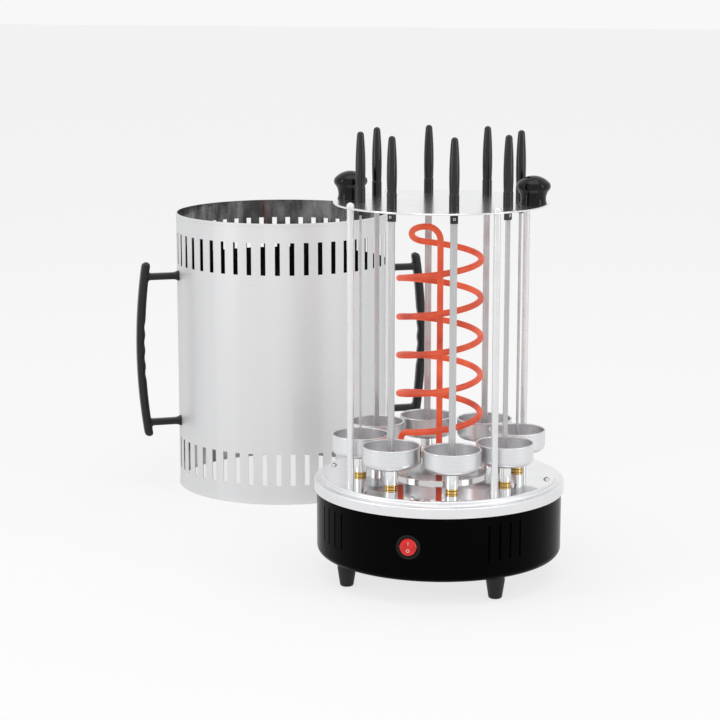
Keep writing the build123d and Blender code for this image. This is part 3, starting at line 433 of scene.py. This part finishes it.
# Each finish: how it is made, and with which values.
FINISHES = {
    "black_enamel": (enamel, {}),
    "zinc_sheet": (
        brushed_metal,
        dict(colour=(0.5, 0.51, 0.52), stretch=NO_GRAIN, rough=(0.35, 0.5)),
    ),
    "rubber_black": (rubber, {}),
    "stud_zinc": (polished_metal, dict(colour=(0.62, 0.62, 0.63), rough=(0.15, 0.3))),
    "mirror_chrome": (deck_metal, dict(colour=(0.86, 0.865, 0.875), disc_radius=DISC_RADIUS)),
    "brass_ring": (
        banded_metal,
        dict(
            colour=(0.8, 0.5, 0.14),
            # dark colour painted as shade in the ring's groove and along its lower edge
            between=(0.12, 0.1, 0.07),
            height=top("deck_bushings"),
            tall=BUSHING_TALL,
        ),
    ),
    "mark_white": (moulded_plastic, dict(colour=(0.82, 0.8, 0.8), rough=(0.3, 0.4))),
    # painted shade for the screws' cross recesses
    "recess_dark": (moulded_plastic, dict(colour=(0.03, 0.03, 0.03), rough=(0.4, 0.5))),
    "gear_white": (moulded_plastic, dict(colour=(0.8, 0.8, 0.77), rough=(0.35, 0.5))),
    "motor_case": (polished_metal, dict(colour=(0.6, 0.61, 0.62), rough=(0.2, 0.35))),
    "post_chrome": (
        polished_metal,
        dict(colour=(0.85, 0.855, 0.865), rough=(0.2, 0.3), metal=0.55),
    ),
    "plate_steel": (
        brushed_metal,
        dict(colour=(0.9, 0.905, 0.91), stretch=CROSS_GRAIN, rough=(0.16, 0.24), depth=0.05),
    ),
    "knob_black": (
        moulded_plastic,
        dict(colour=(0.003, 0.003, 0.0035), rough=(0.08, 0.14), level=0.22),
    ),
    "heater_glow": (hot_tube, {}),
    "reflector_chrome": (
        spun_metal,
        dict(colour=(0.82, 0.81, 0.8), rings=45.0, rough=(0.06, 0.14), depth=0.08),
    ),
    "ceramic_white": (ceramic, dict(colour=(0.82, 0.8, 0.74))),
    "switch_black": (
        moulded_plastic,
        dict(colour=(0.004, 0.004, 0.0045), rough=(0.2, 0.3), level=0.2),
    ),
    "rocker_red": (lit_rocker, {}),
    "cord_black": (
        moulded_plastic,
        dict(colour=(0.012, 0.012, 0.012), rough=(0.4, 0.55), level=0.3),
    ),
    "block_cream": (moulded_plastic, dict(colour=(0.72, 0.69, 0.58), rough=(0.4, 0.5))),
    "spindle_chrome": (polished_metal, dict(colour=(0.84, 0.845, 0.855), rough=(0.06, 0.12))),
    "cup_steel": (spun_metal, dict(colour=(0.82, 0.825, 0.84), rings=50.0, rough=(0.3, 0.42))),
    "blade_steel": (
        brushed_metal,
        dict(colour=(0.62, 0.62, 0.63), stretch=UPRIGHT_GRAIN, rough=(0.2, 0.32), metal=0.5),
    ),
    "handle_black": (moulded_plastic, dict(colour=(0.005, 0.005, 0.006), rough=(0.1, 0.18))),
    "cover_steel": (
        sheet_metal,
        dict(colour=(0.86, 0.865, 0.875), wall=COVER_RADIUS - HALF_SHEET),
    ),
    "cover_grip": (
        moulded_plastic,
        dict(colour=(0.006, 0.006, 0.008), rough=(0.2, 0.32), level=0.4),
    ),
}
MATERIALS = {name: make(name, **values) for name, (make, values) in FINISHES.items()}


def dress_nodes():
    """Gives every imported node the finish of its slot."""
    for piece in frame["record"]["subparts"]:
        mesh = nodes[piece["node"]].data
        mesh.materials.clear()
        mesh.materials.append(MATERIALS[piece["material_slot"]])


# ---------------------------------------------------------------- stage

BACKGROUND = 0.939
WORLD_LIGHT = 0.75
FLOOR_SIZE = 40.0
FLOOR_ALBEDO = 0.25
FLOOR_VARIATION = 0.995
FLOOR_GLOW = 0.7
LAMP_AIM = Vector((GRILL.x / 2, 0, 0.2))


def make_floor():
    """Floor that keeps the shadow and glows pale to the rays that see the background."""
    mesh = bpy.data.meshes.new("floor")
    half = FLOOR_SIZE / 2
    corners = [(-half, -half, 0), (half, -half, 0), (half, half, 0), (-half, half, 0)]
    mesh.from_pydata(corners, [], [(0, 1, 2, 3)])
    floor = bpy.data.objects.new("floor", mesh)
    scene.collection.objects.link(floor)
    n = material_nodes("floor")
    n.tree.nodes.remove(n.shader)
    cloud = n.noise(n.coordinates(), scale=3.0, detail=2.0)
    colour = n.mottle(cloud, grey(FLOOR_ALBEDO * FLOOR_VARIATION), grey(FLOOR_ALBEDO))
    matt = n.add("ShaderNodeBsdfDiffuse", {"Color": colour}).outputs[0]
    strength = n.maths("MULTIPLY", n.background_rays(), FLOOR_GLOW)
    glow = n.add("ShaderNodeEmission", {"Strength": strength}).outputs[0]
    both = n.add("ShaderNodeAddShader", {0: matt, 1: glow}).outputs[0]
    n.feed(both, n.tree.nodes["Material Output"].inputs["Surface"])
    mesh.materials.append(n.owner)


def make_world():
    """Even pale surroundings, shown alike to the camera, to metal and through glass."""
    n = Nodes(bpy.data.worlds.new("studio"))
    scene.world = n.owner
    light, shown = (*grey(WORLD_LIGHT), 1), (*grey(BACKGROUND), 1)
    n.join(n.blend(n.background_rays(), light, shown), "Color")


def area_lamp(name, bearing, distance, height, size, power):
    """Soft lamp aimed at the grill; bearing 0 is the camera's side, positive to its right."""
    data = bpy.data.lights.new(name, "AREA")
    data.shape = "RECTANGLE"
    data.size, data.size_y = size
    data.energy = power
    lamp = bpy.data.objects.new(name, data)
    turn = CAMERA_TURN - pi / 2 + radians(bearing)
    lamp.location = LAMP_AIM + Vector((distance * cos(turn), distance * sin(turn), height))
    lamp.rotation_euler = (LAMP_AIM - lamp.location).to_track_quat("-Z", "Y").to_euler()
    scene.collection.objects.link(lamp)
    return lamp


def make_lights():
    """A lamp overhead, a strip at each side and a front fill that metal doesn't mirror."""
    fill = area_lamp("front_fill", bearing=-14, distance=2.4, height=0.5, size=(1.6, 1.2), power=12)
    fill.visible_glossy = False
    area_lamp("overhead", bearing=10, distance=0.4, height=2.6, size=(1.8, 1.8), power=14)
    for name, bearing in (("strip_left", -62), ("strip_right", 58)):
        area_lamp(name, bearing, distance=2.2, height=0.8, size=(0.5, 1.8), power=8)


# ---------------------------------------------------------------- mesh helpers


def new_piece(name, mesh, body, slot, finish=None):
    """A smooth piece that rides on a body; its finish is its slot's, unless one is named."""
    piece = bpy.data.objects.new(name, mesh)
    scene.collection.objects.link(piece)
    mesh.materials.append(MATERIALS[finish or slot])
    mesh.shade_smooth()
    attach(piece, body)
    return piece


def mesh_from(build, name):
    """A mesh filled in by a function that is given an empty bmesh."""
    shape = bmesh.new()
    build(shape)
    bmesh.ops.recalc_face_normals(shape, faces=shape.faces)
    mesh = bpy.data.meshes.new(name)
    shape.to_mesh(mesh)
    shape.free()
    return mesh


def skin(shape, rings, looped=False):
    """Faces between rings of equal count; the last ring joins the first, or both ends close."""
    rows = [[shape.verts.new(point) for point in ring] for ring in rings]
    count = len(rows[0])
    pairs = list(zip(rows, rows[1:]))
    if looped:
        pairs.append((rows[-1], rows[0]))
    for low, high in pairs:
        for i in range(count):
            j = (i + 1) % count
            shape.faces.new((low[i], low[j], high[j], high[i]))
    if not looped:
        shape.faces.new(reversed(rows[0]))
        shape.faces.new(rows[-1])


def lathe(shape, axis, profile, turn, steps):
    """Turns a closed profile of (radius, height) points about an axis point."""
    rings = []
    for k in range(steps):
        angle = tau * k / steps
        rings.append([turn @ Vector((r * cos(angle), r * sin(angle), h)) + axis for r, h in profile])
    skin(shape, rings, looped=True)


# ---------------------------------------------------------------- switch marks

ROCKER_PIVOT = Vector(next(j["pos_m"] for j in frame["joints"] if j["name"] == "switch_tilt"))
ROCKER_LEAN = radians(7.0)
ROCKER_FRONT = 0.0032
MARK_HEIGHT = 0.0029
MARK_LINE = 0.0005
MARK_PLACE = 0.0036
MARK_PROUD = 0.00006
MARK_STEPS = 40


def rocker_point(across, up, out):
    """A point over the rocker's face."""
    outward = Vector((0, -cos(ROCKER_LEAN), sin(ROCKER_LEAN)))
    upward = Vector((0, sin(ROCKER_LEAN), cos(ROCKER_LEAN)))
    return ROCKER_PIVOT + Vector((across, 0, 0)) + upward * up + outward * (ROCKER_FRONT + out)


def make_on_mark(shape):
    """Upright stroke, printed on the rocker."""
    half = MARK_LINE / 2
    corners = [(-half, -1), (half, -1), (half, 1), (-half, 1)]
    layers = []
    for out in (-MARK_PROUD, MARK_PROUD):
        layers.append([rocker_point(x, MARK_PLACE + y * MARK_HEIGHT / 2, out) for x, y in corners])
    skin(shape, layers)


def make_off_mark(shape):
    """Ring, printed on the rocker."""
    sides = [(1, -1), (1, 1), (-1, 1), (-1, -1)]
    rings = []
    for k in range(MARK_STEPS):
        angle = tau * k / MARK_STEPS
        ring = []
        for side, out in sides:
            radius = MARK_HEIGHT / 2 + side * MARK_LINE / 2
            across, up = radius * cos(angle), radius * sin(angle)
            ring.append(rocker_point(across, up - MARK_PLACE, out * MARK_PROUD))
        rings.append(ring)
    skin(shape, rings, looped=True)


def make_switch_marks():
    """The generic on and off marks."""
    for name, build in (("rocker_mark_on", make_on_mark), ("rocker_mark_off", make_off_mark)):
        new_piece(name, mesh_from(build, name), "rocker", "rocker_red", "mark_white")


# ---------------------------------------------------------------- rivets in the skewer handles

RIVET_RADIUS = 0.0017
RIVET_EDGE = RIVET_RADIUS * 0.8
RIVET_HOLE = 0.0008
RIVET_BORE = RIVET_HOLE * 1.3
RIVET_HEAD = 0.0005
RIVET_DROP = 0.0045
RIVET_SIDES = 24
NECK_HALF = 0.0023
RIVET_REACH = NECK_HALF + RIVET_HEAD
RIVET_PROFILE = [
    (RIVET_HOLE, -RIVET_REACH),
    (RIVET_EDGE, -RIVET_REACH),
    (RIVET_RADIUS, -NECK_HALF),
    (RIVET_BORE, -NECK_HALF),
    (RIVET_BORE, NECK_HALF),
    (RIVET_RADIUS, NECK_HALF),
    (RIVET_EDGE, RIVET_REACH),
    (RIVET_HOLE, RIVET_REACH),
]


def make_rivets():
    """A bright hollow rivet through the neck of each skewer handle."""
    for number in STATIONS:
        handle, name = f"skewer_handle_{number}", f"rivet_{number}"
        centre = middle(handle)
        outward = Vector((centre.x - GRILL.x, centre.y - GRILL.y, 0)).normalized()
        turn = outward.to_track_quat("Z", "Y").to_matrix()
        spot = Vector((centre.x, centre.y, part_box(handle)[0].z + RIVET_DROP))
        mesh = mesh_from(lambda shape: lathe(shape, spot, RIVET_PROFILE, turn, RIVET_SIDES), name)
        new_piece(name, mesh, f"spit_{number}", "stud_zinc")


# ---------------------------------------------------------------- screw recesses

RECESS_LENGTH = 0.0036
RECESS_WIDTH = 0.0008
RECESS_DEPTH = 0.0007
RECESS_TAPER = 0.9
RECESS_SUNK = 0.00002
SCREW_SPACING = 4 * RECESS_LENGTH


def screw_heads(node):
    """The highest point of each screw in a node of several screws."""
    vertices = sorted(nodes[node].data.vertices, key=lambda vertex: -vertex.co.z)
    lowest = vertices[0].co.z - RECESS_DEPTH / 2
    peaks = []
    for vertex in vertices:
        if vertex.co.z < lowest:
            break
        if all((vertex.co - peak).to_2d().length > SCREW_SPACING for peak in peaks):
            peaks.append(vertex.co.copy())
    return peaks


def cross_recess(shape, peak, bearing):
    """Two crossed slots below a screw's highest point."""
    for angle in (bearing, bearing + pi / 2):
        along = heading(angle) * RECESS_LENGTH / 2
        across = sideways(angle) * RECESS_WIDTH / 2
        corners = [along + across, along - across, -along - across, -along + across]
        low = [peak + corner - UP * RECESS_DEPTH for corner in corners]
        high = [peak + corner * RECESS_TAPER - UP * RECESS_SUNK for corner in corners]
        skin(shape, [low, high])


def make_recesses(node):
    """Cross recess in each screw's head, a dark piece painted as the shade inside it, turned by its number so that
    they differ.
    """
    for number, peak in enumerate(screw_heads(node), 1):
        name = f"{node}_recess_{number}"
        mesh = mesh_from(lambda shape: cross_recess(shape, peak, bearing=number), name)
        # The recess is a dark block just under the head's top; its colour is painted shade.
        new_piece(name, mesh, "grill_frame", "stud_zinc", "recess_dark")


# ---------------------------------------------------------------- cover handles

GRIP_WIDTH = 0.013
GRIP_THICK = 0.0105
GRIP_BOW = 0.0085
GRIP_TIP = 0.12            # share of the section that is left at the grip's ends
GRIP_STEPS = 120
ARM_TALL = 0.0085
ARM_NARROW = 0.92          # an arm's width as a share of the grip's
ARM_FLARE = 0.0055
ARM_FLARE_LENGTH = 0.007
ARM_INSET = 0.018
ARM_GAP = 0.0001
ARM_STEPS = 24
FINGER_COUNT = 4
FINGER_PITCH = 0.019
FINGER_WAVE = 0.0011
HANDLE_VOXEL = 0.0011
SMOOTH_SHARE = 0.5
SMOOTH_ROUNDS = 3
HANDLE_BEARINGS = (radians(210.9), radians(30.9))
SECTION_POINTS = 28
SECTION_POWER = 3.2        # 2 is an oval, and a box is approached as it grows


def rounded_box_ring(centre, wide, tall, wide_half, tall_half):
    """Ring of points shaped between a box and an oval."""
    ring = []
    for k in range(SECTION_POINTS):
        angle = tau * k / SECTION_POINTS
        c, s = cos(angle), sin(angle)
        x = abs(c) ** (2 / SECTION_POWER) * (1 if c >= 0 else -1)
        y = abs(s) ** (2 / SECTION_POWER) * (1 if s >= 0 else -1)
        ring.append(centre + wide * (wide_half * x) + tall * (tall_half * y))
    return ring


def bowed(reach, part):
    """Distance of the grip's outer face from the cover's axis, part of the way up."""
    return reach - GRIP_BOW * (2 * part - 1) ** 2


def finger_wave(across):
    """Depth of the finger waves at a distance from the grip's middle."""
    half = FINGER_COUNT / 2 * FINGER_PITCH
    if abs(across) >= half:
        return 0.0
    return FINGER_WAVE * (1 - cos(tau * (across + half) / FINGER_PITCH)) / 2


def add_grip(shape, bearing, reach, low, high):
    """Bowed grip with finger waves, between two heights."""
    out, side = heading(bearing), sideways(bearing)
    tall = high - low
    rings = []
    for k in range(GRIP_STEPS + 1):
        part = k / GRIP_STEPS
        height = low + tall * part
        close = min(1.0, min(part, 1 - part) * tall / GRIP_THICK * 2)
        ease = max(GRIP_TIP, (1 - (1 - close) ** 2) ** 0.5)
        thick = (GRIP_THICK - finger_wave(height - (low + high) / 2)) * ease
        distance = bowed(reach, part) - GRIP_THICK * (1 - ease) / 2 - thick / 2
        spot = COVER_AXIS + out * distance + UP * height
        rings.append(rounded_box_ring(spot, out, side, thick / 2, GRIP_WIDTH / 2 * ease))
    skin(shape, rings)


def add_arm(shape, bearing, start, end, height):
    """Arm from the sleeve to the grip, flared at both ends."""
    out, side = heading(bearing), sideways(bearing)
    wide_half = GRIP_WIDTH / 2 * ARM_NARROW
    rings = []
    for k in range(ARM_STEPS + 1):
        part = k / ARM_STEPS
        near = min(part, 1 - part) * (end - start)
        flare = ARM_FLARE * max(0.0, 1 - near / ARM_FLARE_LENGTH) ** 2
        spot = COVER_AXIS + out * (start + (end - start) * part) + UP * height
        rings.append(rounded_box_ring(spot, UP, side, ARM_TALL / 2 + flare / 2, wide_half))
    skin(shape, rings)


def add_handle(shape, bearing, reach, low, high):
    """Grip and the two arms that carry it."""
    add_grip(shape, bearing, reach, low, high)
    for height in (low + ARM_INSET, high - ARM_INSET):
        end = bowed(reach, (height - low) / (high - low)) - GRIP_THICK / 2
        add_arm(shape, bearing, COVER_RADIUS + ARM_GAP, end, height)


def blended(mesh):
    """One closed skin round a mesh whose parts run through each other, with soft inner corners."""
    helper = bpy.data.objects.new("helper", mesh)
    scene.collection.objects.link(helper)
    remesh = helper.modifiers.new("one_skin", "REMESH")
    remesh.mode = "VOXEL"
    remesh.voxel_size = HANDLE_VOXEL
    smooth = helper.modifiers.new("soft_corners", "SMOOTH")
    smooth.factor = SMOOTH_SHARE
    smooth.iterations = SMOOTH_ROUNDS
    shown = helper.evaluated_get(bpy.context.evaluated_depsgraph_get())
    made = bpy.data.meshes.new_from_object(shown)
    bpy.data.objects.remove(helper)
    return made


def make_cover_grips():
    """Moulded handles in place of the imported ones, with rounded ends and edges."""
    low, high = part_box("cover_handles")
    corner = high - COVER
    front = HANDLE_BEARINGS[1]
    reach = (corner.x - abs(sideways(front).x) * GRIP_WIDTH / 2) / cos(front)
    for number, bearing in enumerate(HANDLE_BEARINGS, 1):
        name = f"cover_grip_{number}"
        rough = mesh_from(lambda shape: add_handle(shape, bearing, reach, low.z, high.z), name)
        mesh = blended(rough)
        mesh.name = name
        new_piece(name, mesh, "cover", "cover_grip")
    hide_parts("cover_handles")


# ---------------------------------------------------------------- cover seam

SEAM_BEARING = radians(75.0)
SEAM_WIDTH = 0.012
SEAM_STEP = 0.0005
SEAM_EDGE = 0.2            # share of the step at which the strip's edges stand
SEAM_PARTS = 8
SLOT_BAND = 0.06
RIM_MARGIN = 0.0035


def add_seam(shape):
    """Strip along the cover, between its two rows of slots."""
    low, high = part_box("cover_sleeve")
    radius = COVER_RADIUS - SEAM_STEP / 2
    half = SEAM_WIDTH / 2 / radius
    rings = []
    for k in range(SEAM_PARTS + 1):
        outward = heading(SEAM_BEARING - half + 2 * half * k / SEAM_PARTS)
        rise = SEAM_STEP * (SEAM_EDGE if k in (0, SEAM_PARTS) else 1.0)
        bottom = COVER_AXIS + outward * radius + UP * (low.z + RIM_MARGIN + SLOT_BAND)
        ceiling = COVER_AXIS + outward * radius + UP * (high.z - RIM_MARGIN - SLOT_BAND)
        rings.append([bottom, bottom + outward * rise, ceiling + outward * rise, ceiling])
    skin(shape, rings)


def make_seam():
    """Lapped strip where the ends of the cover's sheet meet, on the side away from the switch."""
    new_piece("cover_seam", mesh_from(add_seam, "cover_seam"), "cover", "cover_steel")


# ---------------------------------------------------------------- the scene

make_camera()
dress_nodes()
make_switch_marks()
make_rivets()
for screws in ("deck_screws", "knob_screws"):
    make_recesses(screws)
make_cover_grips()
make_seam()
make_floor()
make_world()
make_lights()

scene.view_settings.view_transform = "Standard"
